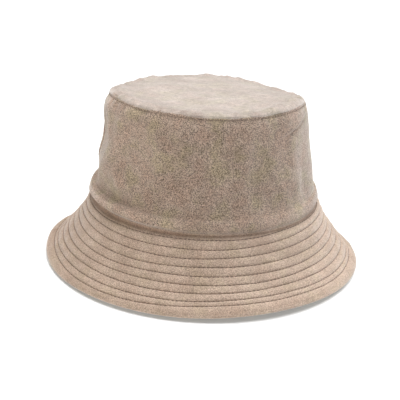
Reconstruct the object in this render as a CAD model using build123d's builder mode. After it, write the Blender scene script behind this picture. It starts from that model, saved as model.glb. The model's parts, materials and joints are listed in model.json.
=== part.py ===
"""Bucket hat: a flat-topped, two-panel crown and a sloping brim quilted with nine rows of stitching.

Millimetres, +Z up. The origin is the centre of the circle that the brim's edge stands on.
Every ring-shaped piece is turned about Z; front is -Y, and both side seams lie in the XZ plane.
"""

from build123d import *

import math
import os

# Cloth and thread
FABRIC = 1.1  # napped shell fabric
INTERLINING = 0.5  # stiffener inside the brim
LINING = 0.3
SWEATBAND = 0.7
THREAD_RADIUS = 0.2
GAP = 0.05  # air between two layers that are sewn together
LINING_DEPTH = FABRIC + 2 * GAP  # below the crown's outer surface
SEAM_GAP = 0.3  # between the crown side's lower edge and the brim's upper edge

# Sizes of the hat
HEAD_OPENING_RADIUS = 89.4  # a 56 cm head
SEAM_RADIUS = 94.0  # where crown and brim are joined
SEAM_HEIGHT = 51.4
BRIM_RADIUS = 131.4
TIP_RADIUS = 76.2  # the flat top panel
TIP_HEIGHT = 135.8  # underside of the top panel at its rim
ROLL_SLOPE = 60  # degrees above level, where the crown side flares out to the brim
TIP_SLOPE = 45  # degrees above level, where the crown side meets the top panel
TIP_RISE = 3.5

# Brim
BRIM_HALF = FABRIC + GAP + INTERLINING / 2
EDGE_SLOPE = 41  # degrees below level at the edge
SEAM_SLOPE = 69  # degrees below level at the crown seam
EDGE_ALLOWANCE = 6.0  # seam allowance turned in along the edge
ROW_COUNT = 9
FIRST_ROW = 3.0  # from the crown seam, along the slope
ROW_PITCH = 6.75
LAST_ROW = 53.0

# Sweatband
BAND_BOTTOM = 48.0
BAND_HEM = 8.0
BAND_EASE = 2.5  # height over which the straight hem turns into the taper
BAND_HEIGHT = 31.0

# Care label, a folded loop that stands in from the lining's right side seam
LABEL_WIDTH = 22.0
LABEL_HEIGHT = 28.0
LABEL_PLY = 0.2
LABEL_FOLD_RADIUS = 0.25
LABEL_CENTRE_HEIGHT = 101.0
LABEL_STANDOFF = 0.8
TACK_LENGTH = 3.0
TACK_GAP = 0.6

INSET_STEPS = 6
HALF_TURN = 180
HALVES = {
    "front": Plane(origin=(0, 0, 0), x_dir=(-1, 0, 0), z_dir=(0, 1, 0)),
    "back": Plane.XZ,
}


def slope_up(degrees):
    """Direction in the half-section that climbs inwards at an angle above level."""
    return Vector(-math.cos(math.radians(degrees)), math.sin(math.radians(degrees)))


# Half-section of the outer surface, in (radius, height). Both profiles climb, so inwards is to their left.
nose_centre = Vector(BRIM_RADIUS - BRIM_HALF, BRIM_HALF)
edge_outwards = slope_up(EDGE_SLOPE).rotate(Axis.Z, -90)
BRIM = Spline(
    nose_centre + edge_outwards * BRIM_HALF,
    (114.7, 18.1),
    (100.8, 37.2),
    (SEAM_RADIUS, SEAM_HEIGHT),
    tangents=[slope_up(EDGE_SLOPE), slope_up(SEAM_SLOPE)],
)
CROWN = Spline(
    (SEAM_RADIUS, SEAM_HEIGHT + SEAM_GAP),
    (90.2, 62.0),
    (87.0, 81.4),
    (83.5, 103.0),
    (82.2, 118.0),
    (TIP_RADIUS, TIP_HEIGHT),
    tangents=[slope_up(ROLL_SLOPE), slope_up(TIP_SLOPE)],
)


def inwards(profile, share):
    """Unit normal of a profile, pointing into the hat."""
    return (profile % share).rotate(Axis.Z, 90)


def inset_point(profile, share, depth):
    """Point at a depth below the outer surface, at a share of the profile's length."""
    return profile @ share + inwards(profile, share) * depth


def inset(profile, depth, first=0.0, last=1.0):
    """Curve at a constant depth below the outer surface."""
    shares = [first + (last - first) * step / INSET_STEPS for step in range(INSET_STEPS + 1)]
    points = [inset_point(profile, share, depth) for share in shares]
    return Spline(*points, tangents=[profile % first, profile % last])


def share_at_height(profile, height):
    """Share of a climbing profile's length at which it reaches a height."""
    low, high = 0.0, 1.0
    while high - low > 1e-6:
        middle = (low + high) / 2
        if (profile @ middle).Y < height:
            low = middle
        else:
            high = middle
    return low


def save(piece, name):
    """Label a finished piece and write its STEP file."""
    piece.part.label = name
    export_step(piece.part, f"parts/{name}.step")


def layer_outline(profile, outer_depth, inner_depth, first=0.0, last=1.0):
    """Half-section of a plain layer of cloth between two depths."""
    outer = inset(profile, outer_depth, first, last)
    inner = inset(profile, inner_depth, first, last)
    Line(outer @ 0, inner @ 0)
    Line(outer @ 1, inner @ 1)


def brim_outline(face_depth, back_depth, middle_depth):
    """Half-section of a brim layer, with its turned seam allowance and its half of the rolled edge."""
    edge = inset_point(BRIM, 0, middle_depth) - (BRIM % 0) * BRIM_HALF
    turned = EDGE_ALLOWANCE / BRIM.length
    face = inset(BRIM, face_depth)
    back = inset(BRIM, back_depth, first=turned)
    allowance = inset(BRIM, middle_depth, last=turned)
    Line(face @ 1, back @ 1)
    Line(back @ 0, allowance @ 1)
    Line(allowance @ 0, edge)
    TangentArc(face @ 0, edge, tangent=-(BRIM % 0))


def disc_outline(radius, rim_height, thickness):
    """Half-section of a gently domed round panel."""
    dome_radius = (radius**2 + TIP_RISE**2) / (2 * TIP_RISE)
    rim_angle = math.degrees(math.acos(radius / dome_radius))
    centre_height = rim_height + TIP_RISE - dome_radius
    under = CenterArc((0, centre_height), dome_radius, rim_angle, 90 - rim_angle)
    over = CenterArc((0, centre_height + thickness), dome_radius, rim_angle, 90 - rim_angle)
    Line(under @ 0, over @ 0)
    Line(under @ 1, over @ 1)


def build_crown_sides():
    """Front and back crown panels, joined at the side seams."""
    for half, start in HALVES.items():
        with BuildPart() as crown_side:
            with BuildSketch(start):
                with BuildLine():
                    layer_outline(CROWN, 0, FABRIC)
                make_face()
            revolve(axis=Axis.Z, revolution_arc=HALF_TURN)
        save(crown_side, f"crown_side_{half}")


def build_crown_tip():
    """Round top panel, which lies on the top edge of the crown sides."""
    with BuildPart() as crown_tip:
        with BuildSketch(Plane.XZ):
            with BuildLine():
                disc_outline(TIP_RADIUS, TIP_HEIGHT + GAP, FABRIC)
            make_face()
        revolve(axis=Axis.Z)
    save(crown_tip, "crown_tip")


def build_brim_layers():
    """Upper and under brim panels, and the stiffener ring that they enclose."""
    depth = 2 * BRIM_HALF
    sections = {
        "brim_upper": (0, FABRIC, BRIM_HALF - GAP / 2),
        "brim_under": (depth, depth - FABRIC, BRIM_HALF + GAP / 2),
    }
    for name, depths in sections.items():
        for half, start in HALVES.items():
            with BuildPart() as brim_panel:
                with BuildSketch(start):
                    with BuildLine():
                        brim_outline(*depths)
                    make_face()
                revolve(axis=Axis.Z, revolution_arc=HALF_TURN)
            save(brim_panel, f"{name}_{half}")

    first = (EDGE_ALLOWANCE + GAP) / BRIM.length
    with BuildPart() as brim_interlining:
        with BuildSketch(Plane.XZ):
            with BuildLine():
                layer_outline(BRIM, FABRIC + GAP, FABRIC + GAP + INTERLINING, first=first)
            make_face()
        revolve(axis=Axis.Z)
    save(brim_interlining, "brim_interlining")


def build_lining():
    """Lining cut like the crown: two side panels and a round top, one layer inside it."""
    depth = LINING_DEPTH
    first = share_at_height(CROWN, SEAM_HEIGHT + LINING)
    last = share_at_height(CROWN, TIP_HEIGHT - FABRIC)
    for half, start in HALVES.items():
        with BuildPart() as lining_side:
            with BuildSketch(start):
                with BuildLine():
                    layer_outline(CROWN, depth, depth + LINING, first=first, last=last)
                make_face()
            revolve(axis=Axis.Z, revolution_arc=HALF_TURN)
        save(lining_side, f"lining_side_{half}")

    top = inset_point(CROWN, last, depth + 2 * LINING)
    with BuildPart() as lining_tip:
        with BuildSketch(Plane.XZ):
            with BuildLine():
                disc_outline(top.X, top.Y + 2 * LINING, LINING)
            make_face()
        revolve(axis=Axis.Z)
    save(lining_tip, "lining_tip")


def build_sweatband():
    """Band round the inside of the crown: a straight hem at the opening, then a taper along the lining."""
    outside = HEAD_OPENING_RADIUS + SWEATBAND
    hem_top = BAND_BOTTOM + BAND_HEM
    taper_depth = LINING_DEPTH + LINING + GAP
    taper_start = share_at_height(CROWN, hem_top + BAND_EASE)
    taper_end = share_at_height(CROWN, BAND_BOTTOM + BAND_HEIGHT)
    with BuildPart() as sweatband:
        with BuildSketch(Plane.XZ):
            with BuildLine():
                outer = inset(CROWN, taper_depth, taper_start, taper_end)
                inner = inset(CROWN, taper_depth + SWEATBAND, taper_start, taper_end)
                Line(outer @ 1, inner @ 1)
                Polyline(
                    inner @ 0,
                    (HEAD_OPENING_RADIUS, hem_top),
                    (HEAD_OPENING_RADIUS, BAND_BOTTOM),
                    (outside, BAND_BOTTOM),
                    (outside, hem_top),
                    outer @ 0,
                )
            make_face()
        revolve(axis=Axis.Z)
    save(sweatband, "sweatband")


def build_thread_rings(name, centres):
    """Rings of thread, one at each centre in the half-section."""
    with BuildPart() as thread:
        with BuildSketch(Plane.XZ):
            with Locations(*centres):
                Circle(THREAD_RADIUS)
        revolve(axis=Axis.Z)
    save(thread, name)


def build_stitching():
    """Brim rows (top thread and under thread), the tip's topstitch and the sweatband's stitch."""
    stand_off = THREAD_RADIUS + GAP
    for row in range(ROW_COUNT):
        distance = min(FIRST_ROW + row * ROW_PITCH, LAST_ROW)
        share = 1 - distance / BRIM.length
        depths = (-stand_off, 2 * BRIM_HALF + stand_off)
        centres = [inset_point(BRIM, share, depth) for depth in depths]
        build_thread_rings(f"brim_stitch_row_{row + 1}", centres)

    topstitch_share = share_at_height(CROWN, TIP_HEIGHT - 2 * FABRIC)
    build_thread_rings("tip_topstitch", [inset_point(CROWN, topstitch_share, -stand_off)])

    band_outside = HEAD_OPENING_RADIUS + SWEATBAND + stand_off
    build_thread_rings("sweatband_stitch", [(band_outside, BAND_BOTTOM + SWEATBAND)])


def build_care_label():
    """Folded label on its hinge line along the side seam, and the two tacks that hold it."""
    share = share_at_height(CROWN, LABEL_CENTRE_HEIGHT)
    root = inset_point(CROWN, share, LINING_DEPTH + LINING + LABEL_STANDOFF)
    seam = CROWN % share
    hinge = Plane(
        origin=(root.X, 0, root.Y),
        x_dir=(-seam.Y, 0, seam.X),
        z_dir=(seam.X, 0, seam.Y),
    )
    print("label hinge at", hinge.origin, "along", hinge.z_dir)

    straight = LABEL_WIDTH - LABEL_FOLD_RADIUS - LABEL_PLY / 2
    with BuildPart() as care_label:
        with BuildSketch(hinge):
            with BuildLine() as loop:
                Line((LABEL_PLY, LABEL_FOLD_RADIUS), (straight, LABEL_FOLD_RADIUS))
                CenterArc((straight, 0), LABEL_FOLD_RADIUS, -90, HALF_TURN)
                Line((straight, -LABEL_FOLD_RADIUS), (LABEL_PLY, -LABEL_FOLD_RADIUS))
                Line((LABEL_PLY, -LABEL_FOLD_RADIUS), (LABEL_PLY, LABEL_FOLD_RADIUS))
            trace(loop.line, line_width=LABEL_PLY)
        extrude(amount=LABEL_HEIGHT / 2, both=True)
    save(care_label, "care_label")

    tack_start = LABEL_HEIGHT / 2 + TACK_GAP
    with BuildPart() as care_label_tacks:
        for end in (hinge.offset(tack_start), hinge.offset(-tack_start - TACK_LENGTH)):
            with BuildSketch(end):
                Circle(THREAD_RADIUS)
            extrude(amount=TACK_LENGTH)
    save(care_label_tacks, "care_label_tacks")


os.makedirs("parts", exist_ok=True)
build_crown_tip()
build_crown_sides()
build_brim_layers()
build_lining()
build_sweatband()
build_stitching()
build_care_label()
print("brim slope length", BRIM.length, "crown side length", CROWN.length)
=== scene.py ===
"""The looks of the bucket hat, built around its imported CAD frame.

Lengths are in millimetres until a mesh is made, and in the frame's metres from there on. Azimuths are in
degrees about +Z: the front is -90, the right side seam is 0 and the left side seam is 180.
"""

import json
import math

import bpy
import numpy as np
from mathutils import Matrix, Vector

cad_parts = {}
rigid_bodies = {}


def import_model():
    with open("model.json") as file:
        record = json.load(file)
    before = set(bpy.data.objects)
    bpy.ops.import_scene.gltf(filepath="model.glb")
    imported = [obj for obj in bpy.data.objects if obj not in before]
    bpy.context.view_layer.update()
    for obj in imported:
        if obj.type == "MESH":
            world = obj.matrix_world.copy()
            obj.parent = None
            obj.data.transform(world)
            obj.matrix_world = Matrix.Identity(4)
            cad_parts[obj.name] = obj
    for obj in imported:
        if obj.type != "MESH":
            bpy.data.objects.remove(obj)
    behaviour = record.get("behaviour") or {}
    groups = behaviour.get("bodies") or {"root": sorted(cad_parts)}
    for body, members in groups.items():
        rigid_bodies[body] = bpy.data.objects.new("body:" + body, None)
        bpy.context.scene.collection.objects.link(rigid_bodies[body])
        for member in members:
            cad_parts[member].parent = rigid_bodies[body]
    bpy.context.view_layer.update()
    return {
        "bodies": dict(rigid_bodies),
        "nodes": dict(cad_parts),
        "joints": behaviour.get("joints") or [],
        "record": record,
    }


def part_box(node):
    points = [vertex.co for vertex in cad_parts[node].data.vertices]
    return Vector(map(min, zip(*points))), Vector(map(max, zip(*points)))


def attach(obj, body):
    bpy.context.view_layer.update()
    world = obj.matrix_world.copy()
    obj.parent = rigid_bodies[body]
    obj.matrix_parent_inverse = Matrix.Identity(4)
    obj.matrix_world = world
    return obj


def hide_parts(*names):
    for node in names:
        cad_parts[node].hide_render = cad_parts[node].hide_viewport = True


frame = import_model()

MM = 0.001
RIGHT, BACK, LEFT = 0, 90, 180

# ------------------------------------------------------------------ the hat's outline and layers
# Half-sections as (radius, height) points, from the crown seam outwards and upwards.
BRIM_OUTLINE = [(94.0, 51.4), (100.8, 37.2), (109.4, 24.6), (119.6, 12.9), (130.9, 2.5)]
CROWN_OUTLINE = [
    (93.4, 51.6),
    (90.2, 62.0),
    (87.0, 81.4),
    (83.5, 103.0),
    (82.2, 118.0),
    (80.6, 130.5),
    (76.6, 137.6),
]
FABRIC = 1.1
BRIM_HALF = 1.4
TOP_CLOTH_DEPTH = 1.5
UNDER_CLOTH_DEPTH = 2.0
LINING_DEPTH = 1.5
LINING = 0.3
BRIM_MIDDLE_RADIUS = 112
CROWN_MIDDLE_RADIUS = 86
CROWN_WIDE_RADIUS = 88
TOP_RISE = 3.4
TOP_RADIUS = 76.8
TOP_HEIGHT = 138.0
TOP_DROOP = 0.9

# ------------------------------------------------------------------ stitching
ROW_COUNT = 9
FIRST_ROW = 3.0
ROW_PITCH = 6.75
LAST_ROW = 53.0
STITCH_PITCH = 3.3
THREAD_RADIUS = 0.3
TOP_STITCH_INSET = 2.3
TOP_STITCH_RADIUS = 78.5
BAND_STITCH_RADIUS = 92.0

# ------------------------------------------------------------------ cloth that settles by simulation
SETTLE_FRAMES = 24
SETTLE_STEP = 3.0
SETTLE_LIMIT = 2.4
ROLL_TOP = 13
WALL_EASE = 0.004
TOP_EASE = 0.02

# ------------------------------------------------------------------ relief of the cloth
PUFF = 1.5
CHANNEL_STATIONS = 12
GRAIN_SIZE = 1.0
GRAIN_DEPTH = 0.1
MESH_STEP = 0.7


class Outline:
    """A smooth half-section through a few (radius, height) points, measured by distance along it."""

    def __init__(self, points):
        knots = np.array(points, float)
        chord = np.r_[0, np.cumsum(np.hypot(*np.diff(knots, axis=0).T))]
        slope = np.gradient(knots, chord, axis=0)
        fine = np.linspace(0, chord[-1], 800)
        span = np.clip(np.searchsorted(chord, fine, side="right") - 1, 0, len(chord) - 2)
        width = (chord[span + 1] - chord[span])[:, None]
        t = (fine - chord[span])[:, None] / width
        line = (
            (2 * t**3 - 3 * t**2 + 1) * knots[span]
            + (t**3 - 2 * t**2 + t) * width * slope[span]
            + (3 * t**2 - 2 * t**3) * knots[span + 1]
            + (t**3 - t**2) * width * slope[span + 1]
        )
        self.distance = np.r_[0, np.cumsum(np.hypot(*np.diff(line, axis=0).T))]
        self.length = self.distance[-1]
        self.line = line
        self.along = np.gradient(line, self.distance, axis=0)

    def at(self, distance):
        """Point and direction of travel at distances along the outline, carried on past its ends."""
        inside = np.clip(distance, 0, self.length)
        point = np.stack([np.interp(inside, self.distance, self.line[:, k]) for k in (0, 1)], -1)
        along = np.stack([np.interp(inside, self.distance, self.along[:, k]) for k in (0, 1)], -1)
        return point + along * (distance - inside)[..., None], along


BRIM = Outline(BRIM_OUTLINE)
CROWN = Outline(CROWN_OUTLINE)


# ------------------------------------------------------------------ smooth variation
def wrapped(azimuth, centre):
    """Azimuth from a centre, between -180 and 180."""
    return (azimuth - centre + 180) % 360 - 180


def bump(value, centre, width):
    """A smooth hill of height 1."""
    return np.exp(-(((value - centre) / width) ** 2))


def turn_bump(azimuth, centre, width):
    """A smooth hill of height 1 round the hat."""
    return np.exp(-((wrapped(azimuth, centre) / width) ** 2))


def smooth_step(value, start, end):
    t = np.clip((value - start) / (end - start), 0, 1)
    return t * t * (3 - 2 * t)


LATTICE = np.random.default_rng(11).uniform(-1, 1, (32, 32, 32))


def noise(points, size):
    """Smooth noise from -1 to 1 with features of about that size, at points of any shape (..., 3)."""
    cell = np.floor(points / size).astype(int)
    t = points / size - cell
    t = t * t * (3 - 2 * t)
    total = np.zeros(points.shape[:-1])
    for corner in np.ndindex(2, 2, 2):
        weight = np.ones(points.shape[:-1])
        for axis, side in enumerate(corner):
            weight = weight * (t[..., axis] if side else 1 - t[..., axis])
        i, j, k = np.moveaxis((cell + corner) % len(LATTICE), -1, 0)
        total += weight * LATTICE[i, j, k]
    return total


def polar(radius, azimuth, height):
    """Points from cylindrical coordinates."""
    angle = np.radians(azimuth)
    return np.stack(np.broadcast_arrays(radius * np.cos(angle), radius * np.sin(angle), height), -1)


def slump(azimuth):
    """Rise of the crown's upper rim over its CAD height: low along the back, proud at the front left."""
    behind = smooth_step(np.sin(np.radians(azimuth)), -0.45, 0.55)
    return -6.3 * behind - 2.4 * turn_bump(azimuth, 35, 38) + 0.8 * turn_bump(azimuth, -150, 30)


def edge_wave(azimuth):
    """Rise of the outer brim off the ground, most at the front."""
    wave = 1.0 + 3.4 * turn_bump(azimuth, -66, 50) + 1.2 * turn_bump(azimuth, 168, 26)
    return wave + 0.5 * np.sin(np.radians(5 * azimuth + 20)) + 1.2 * turn_bump(azimuth, -10, 16)


def drape(radius, azimuth, height):
    """How the soft hat leans out of round: a fuller left side, a back pulled in, and a wavy brim edge."""
    high = smooth_step(height, 75, 136)
    fuller = 2.6 * bump(height, 116, 22) + 3.0 * bump(height, 128, 11) + 2.6 * bump(height, 82, 13)
    radius = radius + fuller * turn_bump(azimuth, LEFT, 55)
    radius = radius - 0.8 * turn_bump(azimuth, RIGHT, 45) * bump(height, 121, 19)
    left_rim = 0.6 * bump(height, 137, 8) * turn_bump(azimuth, LEFT, 50)
    radius = radius - high * (3.0 * turn_bump(azimuth, BACK, 60) + left_rim)
    outer = smooth_step(radius, 104, 131)
    tucked = 4.5 * turn_bump(azimuth, 22, 22) + 6.0 * turn_bump(azimuth, 146, 24)
    radius = radius - tucked * outer
    lip = smooth_step(radius, 119, 131) * 3.0 * turn_bump(azimuth, 176, 17)
    return radius, height + outer * edge_wave(azimuth) + lip + high * slump(azimuth)


def section_point(outline, azimuth, distance, advance, lift, drop_side):
    """Point of a turned piece: along its outline, then further along it, then out from its surface.

    drop_side is 1 for the crown and -1 for the brim, whose outlines run in opposite ways round the cloth.
    """
    point, along = outline.at(distance)
    radius = point[..., 0] + along[..., 0] * advance + drop_side * along[..., 1] * lift
    height = point[..., 1] + along[..., 1] * advance - drop_side * along[..., 0] * lift
    radius, height = drape(radius, azimuth, height)
    return polar(radius, azimuth, height)


# ------------------------------------------------------------------ settled cloth
def settled(points, faces, held, growth):
    """Where a sheet cut a little too large for its held edge comes to rest, buckled into soft folds."""
    mesh = bpy.data.meshes.new("settling")
    mesh.from_pydata((points * MM).tolist(), [], faces)
    sheet = bpy.data.objects.new("settling", mesh)
    scene = bpy.context.scene
    scene.collection.objects.link(sheet)
    sheet.vertex_groups.new(name="held").add(np.flatnonzero(held).tolist(), 1.0, "ADD")
    cloth = sheet.modifiers.new("cloth", "CLOTH")
    cloth.settings.quality = 6
    cloth.settings.mass = 0.25
    cloth.settings.vertex_group_mass = "held"
    cloth.settings.shrink_min = -growth
    cloth.settings.bending_stiffness = 6.0
    cloth.settings.effector_weights.gravity = 0.15
    cloth.point_cache.frame_end = SETTLE_FRAMES
    for frame in range(1, SETTLE_FRAMES + 1):
        scene.frame_set(frame)
    result = sheet.evaluated_get(bpy.context.evaluated_depsgraph_get()).data
    flat = np.empty(3 * len(points))
    result.vertices.foreach_get("co", flat)
    bpy.data.objects.remove(sheet)
    bpy.data.meshes.remove(mesh)
    scene.frame_set(1)
    return flat.reshape(-1, 3) / MM


def softened(field, passes):
    """A field with its sharpest folds eased into their neighbours."""
    for _ in range(passes):
        padded = np.pad(field, 1, mode="edge")
        field = (padded[:-2, 1:-1] + 2 * field + padded[2:, 1:-1]) / 4
        padded = np.pad(field, 1, mode="edge")
        field = (padded[1:-1, :-2] + 2 * field + padded[1:-1, 2:]) / 4
    return field


def lookup(field, i, j):
    """Value between the points of a regular grid."""
    i = np.clip(i, 0, field.shape[0] - 1.001)
    j = np.clip(j, 0, field.shape[1] - 1.001)
    a, b = np.floor(i).astype(int), np.floor(j).astype(int)
    s, t = i - a, j - b
    s, t = s * s * (3 - 2 * s), t * t * (3 - 2 * t)
    near = field[a, b] * (1 - t) + field[a, b + 1] * t
    far = field[a + 1, b] * (1 - t) + field[a + 1, b + 1] * t
    return near * (1 - s) + far * s


def wall_folds():
    """Outward movement of the crown side, over azimuth and distance, after its cloth has settled."""
    columns = int(2 * np.pi * CROWN_MIDDLE_RADIUS / SETTLE_STEP)
    stations = int(CROWN.length / SETTLE_STEP)
    azimuth = np.linspace(-180, 180, columns, endpoint=False)[:, None]
    distance = np.linspace(0, CROWN.length, stations)[None, :]
    section, along = CROWN.at(distance)
    start = polar(section[..., 0], azimuth, section[..., 1])
    out = polar(along[..., 1], azimuth, -along[..., 0])
    points = (start + out * 0.4 * noise(start, 24.0)[..., None]).reshape(-1, 3)
    corner = (np.arange(columns)[:, None] * stations + np.arange(stations - 1)[None, :]).ravel()
    faces = np.stack([corner, corner + stations, corner + stations + 1, corner + 1], -1)
    faces = faces % (columns * stations)
    place = distance + 0 * azimuth
    held = (place < ROLL_TOP) | (place > CROWN.length - SETTLE_STEP)
    moved = settled(points, faces.tolist(), held.ravel(), WALL_EASE).reshape(start.shape) - start
    field = softened(np.clip((moved * out).sum(-1), -SETTLE_LIMIT, SETTLE_LIMIT), 2)
    return np.vstack([field, (field[:1] + field[-1:]) / 2])


def top_folds():
    """Rise of the top panel, over X and Y, after its cloth has settled inside its seam."""
    line = np.arange(-TOP_RADIUS, TOP_RADIUS + SETTLE_STEP, SETTLE_STEP)
    x, y = np.meshgrid(line, line, indexing="ij")
    inside = np.hypot(x, y) < TOP_RADIUS
    field = np.zeros(x.shape)
    index = np.cumsum(inside.ravel()).reshape(inside.shape) - 1
    whole = inside[:-1, :-1] & inside[1:, :-1] & inside[1:, 1:] & inside[:-1, 1:]
    corners = [index[:-1, :-1], index[1:, :-1], index[1:, 1:], index[:-1, 1:]]
    faces = np.stack([corner[whole] for corner in corners], -1)
    flat = np.stack([x[inside], y[inside], 0 * x[inside]], -1)
    flat[:, 2] = 0.8 * noise(flat, 26.0)
    held = np.hypot(flat[:, 0], flat[:, 1]) > TOP_RADIUS - 1.5 * SETTLE_STEP
    moved = settled(flat, faces.tolist(), held, TOP_EASE)
    field[inside] = np.clip(moved[:, 2], -SETTLE_LIMIT, SETTLE_LIMIT)
    return field


WALL_FOLDS = wall_folds()
TOP_FOLDS = top_folds()


def wall_fold(azimuth, distance):
    """Settled relief of the crown side at a place."""
    column = wrapped(azimuth, 0) / 360 * (len(WALL_FOLDS) - 1) + (len(WALL_FOLDS) - 1) / 2
    return lookup(WALL_FOLDS, column, distance / CROWN.length * (WALL_FOLDS.shape[1] - 1))


def top_fold(radius, azimuth):
    """Settled relief of the top panel at a place."""
    angle = np.radians(azimuth)
    i, j = ((radius * f(angle) + TOP_RADIUS) / SETTLE_STEP for f in (np.cos, np.sin))
    return lookup(TOP_FOLDS, i, j)


# ------------------------------------------------------------------ brim
def row_distance(row, azimuth):
    """Distance of a row of brim stitching from the crown seam. Hand-guided rows wander a little."""
    base = min(FIRST_ROW + row * ROW_PITCH, LAST_ROW)
    common = 0.9 * turn_bump(azimuth, -128, 26) - 3.2 * turn_bump(azimuth, -20, 42) * (1 - base / 60)
    own = 0.35 * np.sin(np.radians(4 * azimuth + 77 * row))
    own = own + 0.12 * np.sin(np.radians(9 * azimuth + 131 * row))
    last = 1.5 + 2.0 * turn_bump(azimuth, -122, 24) if row == ROW_COUNT - 1 else 0
    return np.maximum(base + common + own + last, 1.2 + row * 2.0)


def channel_edges(azimuth):
    """Distances that bound the quilted channels, from under the crown to just past the brim's edge."""
    rows = [row_distance(row, azimuth) for row in range(ROW_COUNT)]
    return [np.full_like(rows[0], -3.0), *rows, np.full_like(rows[0], BRIM.length + 2.5)]


def quilt(azimuth, distance):
    """Height of the brim's cloth over its outline: channels puffed between grooves of stitching."""
    azimuth, distance = np.broadcast_arrays(azimuth, distance)
    edges = channel_edges(azimuth)
    height = np.zeros_like(distance)
    for low, high in zip(edges, edges[1:]):
        width = np.maximum(high - low, 0.5)
        t = np.clip((distance - low) / width, 0, 1)
        swell = PUFF * np.minimum(width / ROW_PITCH, 1.0) * np.sqrt(np.maximum(4 * t * (1 - t), 0))
        height = np.where((distance >= low) & (distance < high), swell, height)
    return height


def channel_stations(azimuth):
    """Distances across the whole brim, crowded towards each groove."""
    edges = channel_edges(azimuth)
    across = (1 - np.cos(np.linspace(0, np.pi, CHANNEL_STATIONS + 1)[:-1])) / 2
    spans = [low + (high - low) * across for low, high in zip(edges, edges[1:])]
    stations = np.concatenate(spans, axis=-1)
    return stations[:, :np.count_nonzero(stations[0] < BRIM.length - 0.2)]


def brim_point(azimuth, distance, advance=0.0, lift=0.0):
    return section_point(BRIM, azimuth, distance, advance, lift, -1)


def brim_top(azimuth, distance, lift=0.0):
    """The brim's upper surface, with its channels and puckers."""
    plain = brim_point(azimuth, distance)
    relief = quilt(azimuth, distance)
    relief = relief * (0.9 + 0.4 * noise(plain, 10.0)) * smooth_step(distance, 1.0, 5.0)
    relief = relief - 1.0 + 0.3 * noise(plain, 26.0) - 0.7 * bump(distance, 0.0, 1.6)
    relief = relief - 0.3 * side_seam(azimuth, BRIM_MIDDLE_RADIUS)
    return brim_point(azimuth, distance, 0.0, relief + lift)


def brim_under(azimuth, distance, lift=0.0):
    """The brim's lower surface. lift is towards the ground."""
    plain = brim_point(azimuth, distance)
    relief = 0.55 * quilt(azimuth, distance) * (0.9 + 0.3 * noise(plain, 13.0)) - 0.3
    return brim_point(azimuth, distance, 0.0, -2 * BRIM_HALF - relief - lift)


# ------------------------------------------------------------------ meshes
def mesh_object(name, points, faces, material, body="hat", painted_shading=None):
    """A smooth-shaded mesh piece from points in millimetres, riding on a body.

    The last argument is the light and shade painted into the cloth's colour at each point: from -1, a painted
    shadow in a seam, to 1, a painted highlight on a fold.
    """
    mesh = bpy.data.meshes.new(name)
    mesh.from_pydata((np.asarray(points) * MM).tolist(), [], faces)
    if painted_shading is not None:
        painted_shading_layer = mesh.attributes.new("painted_shading", "FLOAT", "POINT")
        painted_shading_layer.data.foreach_set("value", np.ravel(painted_shading).astype(np.float32))
    mesh.polygons.foreach_set("use_smooth", [True] * len(mesh.polygons))
    mesh.materials.append(material)
    piece = bpy.data.objects.new(name, mesh)
    bpy.context.scene.collection.objects.link(piece)
    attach(piece, body)
    return piece


def ring_faces(columns, stations, closed):
    """Quads of a closed section swept over columns.

    The ends stay open where the sweep does not close: each half meets the other at a side seam.
    """
    faces = []
    for column in range(columns if closed else columns - 1):
        here = column * stations
        there = (column + 1) % columns * stations
        for k in range(stations):
            after = (k + 1) % stations
            faces.append((here + k, there + k, there + after, here + after))
    return faces


def swept(name, section, start, end, material, step, closed=False):
    """A piece whose section is swept round the hat.

    The section is a function of azimuth that gives loops of points and the light and shade painted into their
    colour.
    """
    columns = max(8, int(abs(end - start) / step))
    azimuths = np.linspace(start, end, columns, endpoint=not closed)
    loops, painted_shading = section(azimuths[:, None])
    faces = ring_faces(columns, loops.shape[1], closed)
    return mesh_object(name, loops.reshape(-1, 3), faces, material, painted_shading=painted_shading)


def grained(points, outward, depth=GRAIN_DEPTH):
    """Points of a napped surface, roughened along their outward directions."""
    grain = noise(points, GRAIN_SIZE) + 0.6 * noise(points + 50, GRAIN_SIZE * 0.55)
    return points + outward * (grain * depth)[..., None]


def outward_of(surface):
    """Unit normals of a (columns, stations) grid of points, pointing to the left of travel round it."""
    across = np.gradient(surface, axis=0)
    along = np.gradient(surface, axis=1)
    normal = np.cross(across, along)
    return normal / np.maximum(np.linalg.norm(normal, axis=-1, keepdims=True), 1e-9)


NOSE = np.radians(np.linspace(12, 90, 7))
NOSE_REACH = 1.15 * BRIM_HALF


def seam_shade(azimuth, distance):
    """Strength of the painted shadow along the brim seam: a broad band under the roll at the left, a thin
    line elsewhere.
    """
    return bump(distance, 0.0, 0.7 + 2.3 * turn_bump(azimuth, -150, 42))


def side_seam(azimuth, radius):
    """A narrow mark of 1 along both side seams."""
    left = bump(np.radians(wrapped(azimuth, LEFT)) * radius, 0.0, 0.9)
    right = bump(np.radians(wrapped(azimuth, RIGHT)) * radius, 0.0, 0.9)
    return left + right


def padded_shading(face_shading, before, after):
    """Painted light and shade of a whole loop: that of its face, and none where the cloth is turned in."""
    columns = len(face_shading)
    return np.concatenate([np.zeros((columns, before)), face_shading, np.zeros((columns, after))], axis=1)


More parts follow.
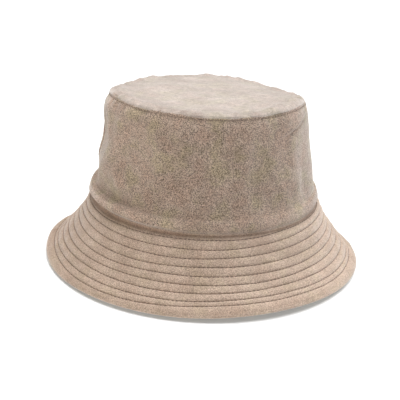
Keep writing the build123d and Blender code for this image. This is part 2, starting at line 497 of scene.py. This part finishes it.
def brim_top_section(azimuth):
    """Loop of the upper brim cloth: its face, the rolled edge, and back along its wrong side."""
    face = channel_stations(azimuth)
    top = brim_top(azimuth, face)
    top = grained(top, -outward_of(top))
    # Painted shade on the brim's face: a shadow along the crown seam and shade in the side seam grooves.
    painted_shading = -0.6 * seam_shade(azimuth, face) - 0.3 * side_seam(azimuth, BRIM_MIDDLE_RADIUS)
    # Painted shade over the far left end of the brim; also darker over the last 8 mm towards the edge.
    painted_shading = painted_shading - 0.3 * turn_bump(azimuth, -175, 32) - 0.15 * smooth_step(face, BRIM.length - 8, BRIM.length)
    # Painted shade in the groove of each row of stitching, weaker at the right front.
    rows = sum(bump(face, row_distance(row, azimuth), 0.45) for row in range(ROW_COUNT))
    painted_shading = painted_shading - 0.25 * (1 - 0.7 * turn_bump(azimuth, -15, 40)) * rows
    edge_lift = BRIM_HALF * (np.cos(NOSE)[None, :] - 1)
    advance = NOSE_REACH * np.sin(NOSE)[None, :]
    nose = brim_point(azimuth, BRIM.length + 0 * azimuth + 0 * edge_lift, advance, edge_lift)
    back = np.linspace(BRIM.length - 1, -1.0, 40)[None, :]
    wrong = brim_point(azimuth, back + 0 * azimuth, 0.0, -TOP_CLOTH_DEPTH - 0.9 * bump(back, 0.0, 2.0))
    return np.concatenate([top, nose, wrong], axis=1), padded_shading(painted_shading, 0, nose.shape[1] + wrong.shape[1])


def brim_under_section(azimuth):
    """Loop of the under brim cloth: the lower half of the rolled edge, its face, and its wrong side."""
    edge_lift = -BRIM_HALF - BRIM_HALF * np.sin(NOSE - NOSE[0])[None, :]
    advance = NOSE_REACH * np.cos(NOSE - NOSE[0])[None, :]
    nose = brim_point(azimuth, BRIM.length + 0 * azimuth + 0 * edge_lift, advance, edge_lift - 0.12)
    face = np.arange(BRIM.length - 0.5, -1.5, -MESH_STEP * 1.2)[None, :]
    under = brim_under(azimuth, face + 0 * azimuth)
    under = grained(under, -outward_of(under))
    back = np.linspace(3.5, BRIM.length - 1, 24)[None, :]
    wrong = brim_point(azimuth, back + 0 * azimuth, 0.0, -UNDER_CLOTH_DEPTH)
    # Painted shade in the side seam grooves of the under cloth.
    painted_shading = 0 * face - 0.3 * side_seam(azimuth, BRIM_MIDDLE_RADIUS)
    return np.concatenate([nose, under, wrong], axis=1), padded_shading(painted_shading, nose.shape[1], wrong.shape[1])


def stiffener_section(azimuth):
    """Loop of the stiffener inside the brim."""
    out = np.linspace(3.5, BRIM.length - 6.2, 30)[None, :]
    upper = brim_point(azimuth, out + 0 * azimuth, 0.0, -TOP_CLOTH_DEPTH - 0.1)
    lower = brim_point(azimuth, out[:, ::-1] + 0 * azimuth, 0.0, -UNDER_CLOTH_DEPTH + 0.1)
    return np.concatenate([upper, lower], axis=1), None


# ------------------------------------------------------------------ crown
def roll_size(azimuth):
    """How far the crown's lower edge rolls out over the brim seam, most at the left."""
    return 1.6 + 3.0 * turn_bump(azimuth, -145, 42) + 1.0 * turn_bump(azimuth, 70, 60)


def shoulder_crease(azimuth, distance):
    """A slanting crease on the right shoulder, with the cloth above it pushed proud."""
    line = 67.0 + 0.36 * (azimuth + 45)
    window = turn_bump(azimuth, -33, 15)
    return window * (0.9 * bump(distance - line, 3.0, 3.0) - 1.1 * bump(distance - line, 0, 1.6))


def label_rest(azimuth, distance):
    """1 round the care label at the right side seam, where the cloth is smooth and clears its swing."""
    return np.minimum(1.5 * turn_bump(azimuth, RIGHT, 28) * bump(distance, 49, 28), 1)


def crown_fold(azimuth, distance):
    """Soft relief of the crown side: the roll over the brim seam, a hollow above it and loose folds."""
    size = roll_size(azimuth)
    swell = smooth_step(distance, 1.2, 3.8) * (1 - smooth_step(distance, 8.8, 11.8))
    relief = size * (swell - 0.25 * bump(distance, 14.4, 3.4)) - 1.6 * bump(distance, 0.0, 1.4)
    plain, _ = CROWN.at(distance)
    place = polar(plain[..., 0], azimuth, plain[..., 1])
    clear = smooth_step(distance, 6, 22)
    loose = clear * (0.9 * noise(place, 38.0) + 0.65 * noise(place + 300, 13.0))
    loose = loose + wall_fold(azimuth, distance)
    return relief + loose * (1 - label_rest(azimuth, distance)) + shoulder_crease(azimuth, distance)


def crown_point(azimuth, distance, advance=0.0, lift=0.0):
    return section_point(CROWN, azimuth, distance, advance, crown_fold(azimuth, distance) + lift, 1)


def crown_wall(azimuth, distance, lift=0.0):
    """Outer surface of the crown side, pinched along the topstitch and gathered a little below it."""
    left = CROWN.length - distance
    pinch = -0.25 * bump(left, TOP_STITCH_INSET, 0.6) + 0.5 * bump(left, 1.3, 0.8)
    pinch = pinch - 0.3 * bump(left, -0.2, 0.5)
    gather = np.sin(np.radians(40 * azimuth) + 3 * np.sin(np.radians(7 * azimuth)))
    ridge = 0.25 * gather * bump(left, 5.0, 3.5)
    groove = 0.6 * side_seam(azimuth, CROWN_MIDDLE_RADIUS)
    return crown_point(azimuth, distance, 0.0, pinch + ridge - groove + lift)


def crown_wall_section(azimuth):
    """Loop of a crown panel: from under the roll, up its face, into the top seam and down its wrong side."""
    curl = np.radians(np.linspace(-150, -12, 9))[None, :]
    foot = np.zeros_like(curl + azimuth)
    tuck = crown_point(azimuth, foot + 0.6, 1.1 * (np.sin(curl) * 0.9 - 0.1), 1.1 * (np.cos(curl) - 1))
    face = np.arange(0.8, CROWN.length - 0.2, MESH_STEP * 0.9)[None, :]
    wall = crown_wall(azimuth, face + 0 * azimuth)
    wall = grained(wall, outward_of(wall))
    hem = np.radians(np.linspace(15, 110, 5))[None, :]
    head = np.full_like(hem + azimuth, CROWN.length)
    top = crown_point(azimuth, head, 0.8 * np.sin(hem), 0.8 * (np.cos(hem) - 1))
    back = np.linspace(CROWN.length - 0.5, 1.0, 30)[None, :]
    wrong = crown_point(azimuth, back + 0 * azimuth, 0.0, -FABRIC)
    left = CROWN.length - face
    # Painted light and shade on the crown side: a painted highlight on the roll over the brim seam, strongest
    # at the left, painted shadow under the roll and in the hollow above it, painted shade in the side seams
    # and the top seam, a painted highlight in a band under the top seam, and painted light over the left
    # side.
    at_left = 0.3 + 0.7 * turn_bump(azimuth, -150, 50)
    painted_shading = at_left * bump(face, 7.6, 3.6) - 0.45 * seam_shade(azimuth, face)
    painted_shading = painted_shading - 0.35 * side_seam(azimuth, CROWN_MIDDLE_RADIUS)
    painted_shading = painted_shading - 0.1 * at_left * bump(face, 14.5, 2.5) + 0.5 * bump(left, 4.0, 4.0)
    painted_shading = painted_shading - 0.3 * bump(left, 0.0, 0.5)
    painted_shading = painted_shading + 0.35 * turn_bump(azimuth, -165, 42)
    turned = padded_shading(painted_shading, tuck.shape[1], top.shape[1] + wrong.shape[1])
    # Painted shade on the tuck under the roll.
    turned[:, :tuck.shape[1]] = -0.4
    return np.concatenate([tuck, wall, top, wrong], axis=1), turned


def top_height(radius, azimuth):
    """Height of the round top panel: a low dome that sags and wrinkles like loose cloth."""
    share = radius / TOP_RADIUS
    place = polar(radius, azimuth, 0.0)
    middle = -3.4
    round_edge = 3.4 * (1 - np.clip((share - 0.86) / 0.14, 0, 1.05) ** 2)
    height = TOP_HEIGHT + TOP_RISE * (1 - share**2) + round_edge
    height = height + middle + (slump(azimuth) - middle) * share**1.6
    slack = smooth_step(1 - share, 0.0, 0.12)
    height = height + slack * (1.1 * noise(place, 34.0) + 0.9 * noise(place + 90, 12.0))
    height = height + top_fold(radius, azimuth)
    gather = np.sin(np.radians(23 * azimuth) + 2.5 * np.sin(np.radians(5 * azimuth)))
    height = height + 0.5 * gather * bump(radius, TOP_RADIUS - 6, 5.0)
    dent = turn_bump(azimuth, -11, 5) * bump(radius, TOP_RADIUS - 6.5, 3.6)
    return height - 3.0 * dent + 1.4 * turn_bump(azimuth, -11, 11) * bump(radius, TOP_RADIUS - 7, 8.0)


def top_outline_shift(radius, azimuth):
    """Radius of the top panel, pushed as the crown's rim below it is."""
    rim, _ = drape(np.full_like(radius, TOP_RADIUS), azimuth, 134.0)
    return radius + (rim - TOP_RADIUS) * (radius / TOP_RADIUS) ** 2


def disc_grid(steps):
    """Radius and azimuth of a square grid of points stretched over a disc of radius 1, with no pole."""
    u, v = np.meshgrid(np.linspace(-1, 1, steps), np.linspace(-1, 1, steps), indexing="ij")
    x, y = u * np.sqrt(1 - v**2 / 2), v * np.sqrt(1 - u**2 / 2)
    return np.hypot(x, y), np.degrees(np.arctan2(y, x))


def grid_faces(steps):
    """Quads of a square grid, facing up."""
    i, j = np.meshgrid(np.arange(steps - 1), np.arange(steps - 1), indexing="ij")
    corner = (i * steps + j).ravel()
    return np.stack([corner, corner + steps, corner + steps + 1, corner + 1], -1).tolist()


def thicken(piece, thickness_mm):
    """Give a sheet its thickness, below its face."""
    solid = piece.modifiers.new("thickness", "SOLIDIFY")
    solid.thickness = thickness_mm * MM
    solid.offset = -1.0


def top_panel(material):
    """The round top panel, its edge curled down over the seam."""
    steps = int(2 * TOP_RADIUS / (MESH_STEP * 1.05))
    share, azimuth = disc_grid(steps)
    flat = share * (TOP_RADIUS + TOP_DROOP)
    radius = np.minimum(flat, TOP_RADIUS - 0.25 * TOP_DROOP + 0.25 * (flat - TOP_RADIUS + TOP_DROOP))
    curl = np.maximum(flat - (TOP_RADIUS - TOP_DROOP), 0) / (2 * TOP_DROOP)
    height = top_height(radius, azimuth) - 1.5 * TOP_DROOP * curl**2
    face = polar(top_outline_shift(radius, azimuth), azimuth, height)
    face = grained(face, outward_of(face))
    inner = TOP_RADIUS - radius
    # Painted light over the middle of the top and mottled painted shade near its rim.
    painted_shading = 0.35 * smooth_step(inner, 6, 30) - 0.3 * bump(inner, 3.0, 3.5) * (0.6 + 0.7 * noise(face, 9.0))
    piece = mesh_object("crown_top", face.reshape(-1, 3), grid_faces(steps), material, painted_shading=painted_shading)
    thicken(piece, FABRIC * 0.8)
    return piece


# ------------------------------------------------------------------ inside
def lining_section(azimuth):
    """Loop of a lining side panel."""
    up = np.linspace(2.0, CROWN.length - 2.5, 60)[None, :]
    outer = crown_point(azimuth, up + 0 * azimuth, 0.0, -LINING_DEPTH)
    inner = crown_point(azimuth, up[:, ::-1] + 0 * azimuth, 0.0, -LINING_DEPTH - LINING)
    return np.concatenate([outer, inner], axis=1), None


def lining_top(material):
    """The round top of the lining."""
    steps = 90
    share, azimuth = disc_grid(steps)
    radius = share * (TOP_RADIUS - 3.2)
    height = top_height(radius, azimuth) - FABRIC - 1.2
    face = polar(top_outline_shift(radius, azimuth), azimuth, height)
    piece = mesh_object("lining_top", face.reshape(-1, 3), grid_faces(steps), material)
    thicken(piece, LINING)
    return piece


BAND_DEPTH = LINING_DEPTH + LINING + 0.3
BAND_THICKNESS = 0.7
BAND_TOP = 27.5


def lining_face(azimuth, height):
    """Radius of the lining's inner face at a height."""
    distance = np.interp(height, CROWN.line[:, 1], CROWN.distance)
    fold = crown_fold(azimuth, distance) - LINING_DEPTH - LINING
    return np.hypot(*np.moveaxis(section_point(CROWN, azimuth, distance, 0.0, fold, 1), -1, 0)[:2])


def band_point(azimuth, up, lift):
    """A place on the outer face of the sweatband."""
    fold = crown_fold(azimuth, np.maximum(up, 2.0)) * smooth_step(up, 8, 20)
    return section_point(CROWN, azimuth, up + 0 * azimuth, 0.0, fold - BAND_DEPTH + lift, 1)


def band_section(azimuth):
    """Loop of the sweatband, with a folded hem along both edges."""
    up = np.linspace(-2.8, BAND_TOP, 60)[None, :]
    hem = 0.25 * (bump(up, -1.2, 1.2) + bump(up, BAND_TOP - 2, 1.6))
    wave = 0.25 * np.sin(np.radians(11 * azimuth)) * smooth_step(up, 10, BAND_TOP)
    inner = band_point(azimuth, up, wave - BAND_THICKNESS - hem)
    outer = band_point(azimuth, up, wave)
    return np.concatenate([outer, inner[:, ::-1]], axis=1), None


# ------------------------------------------------------------------ stitches
def stitches(name, path, radius, material):
    """Separate stitches along a path, a function of azimuth and lift that gives points.

    Each stitch dips into the cloth at its ends.
    """
    count = int(round(math.tau * radius / STITCH_PITCH))
    middles = np.linspace(-180, 180, count, endpoint=False)
    jitter = np.random.default_rng(count).uniform(-0.12, 0.12, count)
    reach = 0.41 * math.degrees(STITCH_PITCH / radius)
    t = np.array([-1.0, -0.75, -0.3, 0.3, 0.75, 1.0])
    azimuth = middles[:, None] + jitter[:, None] * reach + t[None, :] * reach
    lift = THREAD_RADIUS * (1 - 2.3 * np.abs(t) ** 3)[None, :]
    centre = path(azimuth, lift)
    up = path(azimuth, lift + 0.5) - centre
    up = up / np.linalg.norm(up, axis=-1, keepdims=True)
    along = np.gradient(centre, axis=1)
    side = np.cross(along, up)
    side = side / np.maximum(np.linalg.norm(side, axis=-1, keepdims=True), 1e-9)
    width = THREAD_RADIUS * np.sqrt(1.05 - t**2)[None, :, None, None]
    rings, sides = len(t), 6
    angle = np.radians(np.arange(sides) * 360 / sides)[None, None, :, None]
    round_it = np.cos(angle) * side[:, :, None, :] + np.sin(angle) * up[:, :, None, :]
    ring = centre[:, :, None, :] + width * round_it
    faces = []
    for stitch in range(count):
        base = stitch * rings * sides
        for i in range(rings - 1):
            for j in range(sides):
                a, b = base + i * sides + j, base + i * sides + (j + 1) % sides
                faces.append((a, b, b + sides, a + sides))
        faces.append(tuple(base + j for j in reversed(range(sides))))
        faces.append(tuple(base + (rings - 1) * sides + j for j in range(sides)))
    return mesh_object(name, ring.reshape(-1, 3), faces, material)


def tube(name, centre, radius, material):
    """A round thread along a line of points."""
    curve = bpy.data.curves.new(name, "CURVE")
    curve.dimensions = "3D"
    curve.bevel_depth = radius * MM
    curve.use_fill_caps = True
    spline = curve.splines.new("POLY")
    spline.points.add(len(centre) - 1)
    for point, place in zip(spline.points, centre * MM):
        point.co = (*place, 1.0)
    source = bpy.data.objects.new(name, curve)
    mesh = bpy.data.meshes.new_from_object(source)
    bpy.data.objects.remove(source)
    mesh.materials.clear()
    mesh.materials.append(material)
    piece = bpy.data.objects.new(name, mesh)
    bpy.context.scene.collection.objects.link(piece)
    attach(piece, "hat")
    return piece


def join(pieces, name):
    """One piece from several meshes."""
    target = pieces[0]
    with bpy.context.temp_override(active_object=target, selected_editable_objects=pieces):
        bpy.ops.object.join()
    target.name = name
    return target


# ------------------------------------------------------------------ materials
class Nodes:
    """A material's node tree, with short calls for the nodes that the fabrics share."""

    def __init__(self, name):
        self.material = bpy.data.materials.new(name)
        self.material.use_nodes = True
        self.tree = self.material.node_tree
        self.shader = self.tree.nodes["Principled BSDF"]
        self.place = self.tree.nodes.new("ShaderNodeTexCoord").outputs["Object"]

    def link(self, output, socket):
        self.tree.links.new(output, socket)

    def noise(self, size_mm, detail=2.0, roughness=0.5, stretch=None):
        node = self.tree.nodes.new("ShaderNodeTexNoise")
        node.inputs["Scale"].default_value = 1 / (size_mm * MM)
        node.inputs["Detail"].default_value = detail
        node.inputs["Roughness"].default_value = roughness
        source = self.place
        if stretch:
            mapping = self.tree.nodes.new("ShaderNodeMapping")
            mapping.inputs["Scale"].default_value = stretch
            self.link(source, mapping.inputs["Vector"])
            source = mapping.outputs["Vector"]
        self.link(source, node.inputs["Vector"])
        return node.outputs["Fac"]

    def painted_shading(self):
        """The light and shade painted on the mesh, moved from -1...1 to 0...1."""
        source = self.tree.nodes.new("ShaderNodeAttribute")
        source.attribute_name = "painted_shading"
        level = self.tree.nodes.new("ShaderNodeMapRange")
        level.inputs["From Min"].default_value = -1.0
        self.link(source.outputs["Fac"], level.inputs["Value"])
        return level.outputs["Result"]

    def ramp(self, value, stops):
        node = self.tree.nodes.new("ShaderNodeValToRGB")
        while len(node.color_ramp.elements) < len(stops):
            node.color_ramp.elements.new(0.5)
        for element, (position, colour) in zip(node.color_ramp.elements, stops):
            element.position = position
            element.color = (*colour, 1.0)
        self.link(value, node.inputs["Fac"])
        return node.outputs["Color"]

    def mix(self, first, second, amount, blend="MULTIPLY"):
        node = self.tree.nodes.new("ShaderNodeMix")
        node.data_type = "RGBA"
        node.blend_type = blend
        node.inputs["Factor"].default_value = amount
        self.link(first, node.inputs[6])
        self.link(second, node.inputs[7])
        return node.outputs[2]

    def bump(self, value, strength, depth_mm, under=None):
        node = self.tree.nodes.new("ShaderNodeBump")
        node.inputs["Strength"].default_value = strength
        node.inputs["Distance"].default_value = depth_mm * MM
        self.link(value, node.inputs["Height"])
        if under is not None:
            self.link(under, node.inputs["Normal"])
        return node.outputs["Normal"]


# Tint for cloth with no painted light or shade; cloth colours are raised by its inverse to make up for it.
PAINTED_SHADING_MIDDLE = 0.8
PLAIN = (1.0, 1.0, 1.0)
ALL_WAYS = (1.0, 1.0, 1.0)
ALONG_YARN = (1.0, 1.0, 0.12)


def shade(colour, factor):
    return tuple(channel * factor for channel in colour)


def napped_cloth(name, colour, grain=0.5, clump=0.2, sheen=0.4, dye=1.0):
    """Short-napped fabric: heathered grain, clumps of nap, brushed patches and a trace of two other dyes.

    Its colour is also darkened by painted shade in seams and grooves and lightened by painted highlights on
    folds, as the mesh gives them.
    """
    cloth = Nodes(name)
    fine = cloth.noise(0.62, 1.0, 0.6)
    clumps = cloth.noise(3.4, 3.0, 0.55)
    patches = cloth.noise(20.0, 2.0, 0.5)
    dyes = cloth.noise(13.0, 2.0, 0.5)
    full = shade(colour, 1 / PAINTED_SHADING_MIDDLE)
    base = cloth.ramp(fine, [(0.36, shade(full, 1 - grain)), (0.5, full), (0.64, shade(full, 1 + grain))])
    clumped = cloth.ramp(clumps, [(0.3, shade(PLAIN, 1 - clump)), (0.7, PLAIN)])
    patched = cloth.ramp(patches, [(0.34, (0.84, 0.82, 0.8)), (0.66, PLAIN)])
    dyed = cloth.ramp(dyes, [(0.34, (0.96, 1.0, 0.88)), (0.5, PLAIN), (0.66, (1.0, 0.94, 0.92))])
    # Painted shading tint: a brown painted shadow at the dark end, the cloth's own colour in the middle, a
    # painted highlight at the light end.
    painted_shading_tint = cloth.ramp(cloth.painted_shading(), [(0.0, (0.4, 0.31, 0.25)), (0.5, shade(PLAIN, PAINTED_SHADING_MIDDLE)), (1.0, PLAIN)])
    tinted = cloth.mix(cloth.mix(base, clumped, 1.0), patched, 1.0)
    tinted = cloth.mix(cloth.mix(tinted, dyed, dye), painted_shading_tint, 1.0)
    cloth.link(tinted, cloth.shader.inputs["Base Color"])
    cloth.shader.inputs["Roughness"].default_value = 0.95
    cloth.shader.inputs["Specular IOR Level"].default_value = 0.15
    cloth.shader.inputs["Sheen Weight"].default_value = sheen
    cloth.shader.inputs["Sheen Roughness"].default_value = 0.5
    cloth.shader.inputs["Sheen Tint"].default_value = (1.0, 1.0, 1.0, 1.0)
    normal = cloth.bump(fine, 0.6, 0.4)
    cloth.link(cloth.bump(clumps, 0.35, 0.7, normal), cloth.shader.inputs["Normal"])
    return cloth.material


def woven_cloth(name, colour, thread_mm, sheen=0.1, stretch=ALONG_YARN):
    """Smooth woven fabric: fine streaks along the yarn and a faint unevenness of dye."""
    cloth = Nodes(name)
    yarn = cloth.noise(thread_mm, 2.0, 0.5, stretch)
    patches = cloth.noise(18.0, 2.0)
    base = cloth.ramp(yarn, [(0.3, shade(colour, 0.82)), (0.7, shade(colour, 1.1))])
    patched = cloth.ramp(patches, [(0.3, shade(PLAIN, 0.92)), (0.7, PLAIN)])
    cloth.link(cloth.mix(base, patched, 1.0), cloth.shader.inputs["Base Color"])
    cloth.shader.inputs["Roughness"].default_value = 0.8
    cloth.shader.inputs["Sheen Weight"].default_value = sheen
    cloth.link(cloth.bump(yarn, 0.4, 0.25), cloth.shader.inputs["Normal"])
    return cloth.material


SHELL = (0.42, 0.32, 0.252)
UNDER = (0.36, 0.33, 0.28)
THREAD = (0.16, 0.11, 0.085)

# The crown side, brim and top are one shell fabric, given as lit and shaded copies: painted darker on the
# side, lighter on the brim, and much lighter and paler on the top.
side_cloth = napped_cloth("shell_side", shade(SHELL, 0.88), grain=0.64)
top_cloth = napped_cloth("shell_tip", (0.56, 0.475, 0.42), grain=0.22, clump=0.3, sheen=0.6, dye=0.5)
brim_cloth = napped_cloth("shell_brim", shade(SHELL, 1.16), grain=0.38, clump=0.1, dye=0.35)
under_cloth = napped_cloth("shell_under", UNDER, grain=0.4, dye=0.5)
lining_cloth = woven_cloth("lining", (0.42, 0.33, 0.26), 0.35)
band_cloth = woven_cloth("sweatband", (0.30, 0.22, 0.17), 0.5)
stiff_cloth = woven_cloth("stiffener", (0.7, 0.69, 0.66), 0.8, stretch=ALL_WAYS)
thread = woven_cloth("thread", THREAD, 0.3, stretch=ALL_WAYS)
top_thread = woven_cloth("top_thread", (0.24, 0.175, 0.135), 0.3, stretch=ALL_WAYS)
label_cloth = woven_cloth("label", (0.82, 0.8, 0.76), 0.25, sheen=0.3)

# ------------------------------------------------------------------ pieces
HALVES = {"front": (-180, 0), "back": (0, 180)}
BRIM_STEP = math.degrees(MESH_STEP / BRIM_MIDDLE_RADIUS)
CROWN_STEP = math.degrees(MESH_STEP / CROWN_WIDE_RADIUS)


def show(piece, slot, *nodes):
    """Let a piece stand for CAD nodes by hiding them."""
    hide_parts(*nodes)


for half, (start, end) in HALVES.items():
    brim_upper = swept(f"brim_top_{half}", brim_top_section, start, end, brim_cloth, BRIM_STEP)
    show(brim_upper, "shell_brim", f"brim_upper_{half}")
    brim_lower = swept(f"brim_bottom_{half}", brim_under_section, start, end, under_cloth, BRIM_STEP * 1.3)
    show(brim_lower, "shell_under", f"brim_under_{half}")
    wall = swept(f"crown_wall_{half}", crown_wall_section, start, end, side_cloth, CROWN_STEP)
    show(wall, "shell_side", f"crown_side_{half}")
    lining = swept(f"lining_wall_{half}", lining_section, start, end, lining_cloth, 1.0)
    show(lining, "lining", f"lining_side_{half}")

stiffener = swept("brim_stiffener", stiffener_section, -180, 180, stiff_cloth, 1.5, closed=True)
show(stiffener, "stiffener", "brim_interlining")
show(top_panel(top_cloth), "shell_tip", "crown_tip")
show(lining_top(lining_cloth), "lining", "lining_tip")
show(swept("head_band", band_section, -180, 180, band_cloth, 1.0, closed=True), "sweatband", "sweatband")

for row in range(ROW_COUNT):
    row_radius = BRIM.at(np.array(row_distance(row, 0.0)))[0][0]
    above = stitches(
        f"brim_stitches_{row + 1}",
        lambda azimuth, lift: brim_top(azimuth, row_distance(row, azimuth), lift + 0.1),
        row_radius,
        thread,
    )
    below = stitches(
        "bobbin",
        lambda azimuth, lift: brim_under(azimuth, row_distance(row, azimuth), lift + 0.05),
        row_radius,
        thread,
    )
    show(join([above, below], f"brim_stitches_{row + 1}"), "thread", f"brim_stitch_row_{row + 1}")

show(
    stitches(
        "top_stitches",
        lambda azimuth, lift: crown_wall(azimuth, CROWN.length - TOP_STITCH_INSET + 0 * azimuth, lift + 0.1),
        TOP_STITCH_RADIUS,
        top_thread,
    ),
    "thread",
    "tip_topstitch",
)

show(
    stitches(
        "band_stitches",
        lambda azimuth, lift: band_point(azimuth, -2.0, lift),
        BAND_STITCH_RADIUS,
        thread,
    ),
    "thread",
    "sweatband_stitch",
)


# ------------------------------------------------------------------ care label
def care_label(material):
    """A folded satin loop that stands in from the right side seam, a little curved, and hangs by one edge."""
    low, high = (np.array(corner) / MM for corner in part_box("care_label"))
    rows, columns, gap = 25, 28, 0.3
    height = np.linspace(low[2] + 1.0, high[2] - 1.0, rows)[None, :]
    root = lining_face(0.0, height) - 0.2
    reach = high[0] - low[0] - 4.5
    out = np.linspace(0, 1, columns)
    loop = np.r_[out, out[::-1]][:, None]
    side = np.r_[np.full(columns, gap), np.full(columns, -gap)][:, None]
    side = side * np.sqrt(np.clip(1.02 - loop**12, 0, 1))
    sway = 0.7 * loop**2 * np.sin((height - low[2]) / 9.0) + 0.3 * loop
    points = np.stack([root - reach * loop, side + sway, height - loop], -1)
    faces = []
    for k in range(2 * columns - 1):
        for row in range(rows - 1):
            corner = k * rows + row
            faces.append((corner, corner + rows, corner + rows + 1, corner + 1))
    piece = mesh_object("label_loop", points.reshape(-1, 3), faces, material, body="care_label")
    thicken(piece, 0.2)
    show(piece, "label", "care_label")


def label_tacks(material):
    """Zigzag tacks that hold the label's edge above and below the loop."""
    low, high = (np.array(corner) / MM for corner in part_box("care_label"))
    tacks = []
    for start in (low[2] - 3.0, high[2] - 0.6):
        height = start + np.linspace(0, 3.6, 40)
        zigzag = 0.5 * np.sin(np.linspace(0, 6 * np.pi, 40))
        centre = np.stack([lining_face(0.0, height) - 0.25, zigzag, height], -1)
        tacks.append(tube("tack", centre, 0.18, material))
    show(join(tacks, "label_tacks"), "thread", "care_label_tacks")


care_label(label_cloth)
label_tacks(thread)


# ------------------------------------------------------------------ room, light and camera
# Lengths are in metres from here on.
FLOOR_HALF = 40.0
EYE_DISTANCE = 0.72


def floor():
    """A large pale floor. It is clear from below and lets lamps under it shine up into the hat."""
    mesh = bpy.data.meshes.new("floor")
    corners = [(-FLOOR_HALF, -FLOOR_HALF, 0), (FLOOR_HALF, -FLOOR_HALF, 0)]
    corners += [(FLOOR_HALF, FLOOR_HALF, 0), (-FLOOR_HALF, FLOOR_HALF, 0)]
    mesh.from_pydata(corners, [], [(0, 1, 2, 3)])
    ground = bpy.data.objects.new("floor", mesh)
    bpy.context.scene.collection.objects.link(ground)
    material = bpy.data.materials.new("floor")
    material.use_nodes = True
    nodes, links = material.node_tree.nodes, material.node_tree.links
    shader = nodes["Principled BSDF"]
    shader.inputs["Base Color"].default_value = (0.76, 0.76, 0.76, 1)
    shader.inputs["Emission Color"].default_value = (1, 1, 1, 1)
    shader.inputs["Emission Strength"].default_value = 0.16
    shader.inputs["Roughness"].default_value = 0.9
    side = nodes.new("ShaderNodeNewGeometry")
    path = nodes.new("ShaderNodeLightPath")
    either = nodes.new("ShaderNodeMath")
    either.operation = "MAXIMUM"
    clear = nodes.new("ShaderNodeBsdfTransparent")
    choice = nodes.new("ShaderNodeMixShader")
    links.new(side.outputs["Backfacing"], either.inputs[0])
    links.new(path.outputs["Is Shadow Ray"], either.inputs[1])
    links.new(either.outputs["Value"], choice.inputs["Fac"])
    links.new(shader.outputs["BSDF"], choice.inputs[1])
    links.new(clear.outputs["BSDF"], choice.inputs[2])
    links.new(choice.outputs["Shader"], nodes["Material Output"].inputs["Surface"])
    mesh.materials.append(material)


def area_light(name, place, target, size, watts, colour=(1, 1, 1)):
    data = bpy.data.lights.new(name, "AREA")
    data.shape = "DISK"
    data.size = size
    data.energy = watts
    data.color = colour
    lamp = bpy.data.objects.new(name, data)
    lamp.location = place
    lamp.rotation_euler = (Vector(target) - Vector(place)).to_track_quat("-Z", "Y").to_euler()
    bpy.context.scene.collection.objects.link(lamp)


def sky_light(name, direction, strength):
    """Wide soft light from overhead that falls evenly on the hat and the whole floor."""
    data = bpy.data.lights.new(name, "SUN")
    data.angle = math.radians(60)
    data.energy = strength
    lamp = bpy.data.objects.new(name, data)
    lamp.rotation_euler = Vector(direction).to_track_quat("Z", "Y").to_euler()
    bpy.context.scene.collection.objects.link(lamp)


def world(strength):
    """A plain white room that looks bright but lights the hat only weakly."""
    studio = bpy.data.worlds.new("studio")
    studio.use_nodes = True
    nodes, links = studio.node_tree.nodes, studio.node_tree.links
    seen = nodes.new("ShaderNodeLightPath").outputs["Is Camera Ray"]
    level = nodes.new("ShaderNodeMapRange")
    level.inputs["To Min"].default_value = strength
    level.inputs["To Max"].default_value = 1.0
    links.new(seen, level.inputs["Value"])
    links.new(level.outputs["Result"], nodes["Background"].inputs["Strength"])
    nodes["Background"].inputs["Color"].default_value = (1, 1, 1, 1)
    bpy.context.scene.world = studio


def camera():
    """Three-quarter-high product view, with the photographer's slight roll."""
    elevation, roll = math.radians(21.35), math.radians(2.71)
    target = Vector((-0.00347, 0, 0.0433))
    back = Vector((0, -math.cos(elevation), math.sin(elevation)))
    right, up = Vector((1, 0, 0)), Vector((0, math.sin(elevation), math.cos(elevation)))
    x_axis = right * math.cos(roll) + up * math.sin(roll)
    y_axis = up * math.cos(roll) - right * math.sin(roll)
    data = bpy.data.cameras.new("camera")
    data.lens = 77.1
    data.sensor_width = 36
    eye = bpy.data.objects.new("camera", data)
    turned = Matrix((x_axis, y_axis, back)).transposed().to_4x4()
    eye.matrix_world = Matrix.Translation(target + back * EYE_DISTANCE) @ turned
    bpy.context.scene.collection.objects.link(eye)
    bpy.context.scene.camera = eye


bpy.context.scene.view_settings.view_transform = "Standard"
floor()
world(0.14)
sky_light("sky", (0.18, 0.2, 1.0), 4.85)
area_light("left", (-1.0, -0.5, 0.12), (0, 0, 0.1), 0.6, 3.5, (1.0, 0.94, 0.82))
area_light("right", (1.0, -0.2, 0.35), (0, 0, 0.09), 0.7, 1.8, (0.82, 0.93, 1.0))
area_light("under", (0.0, -0.3, -0.8), (0, 0, 0.05), 0.8, 5.0)
camera()
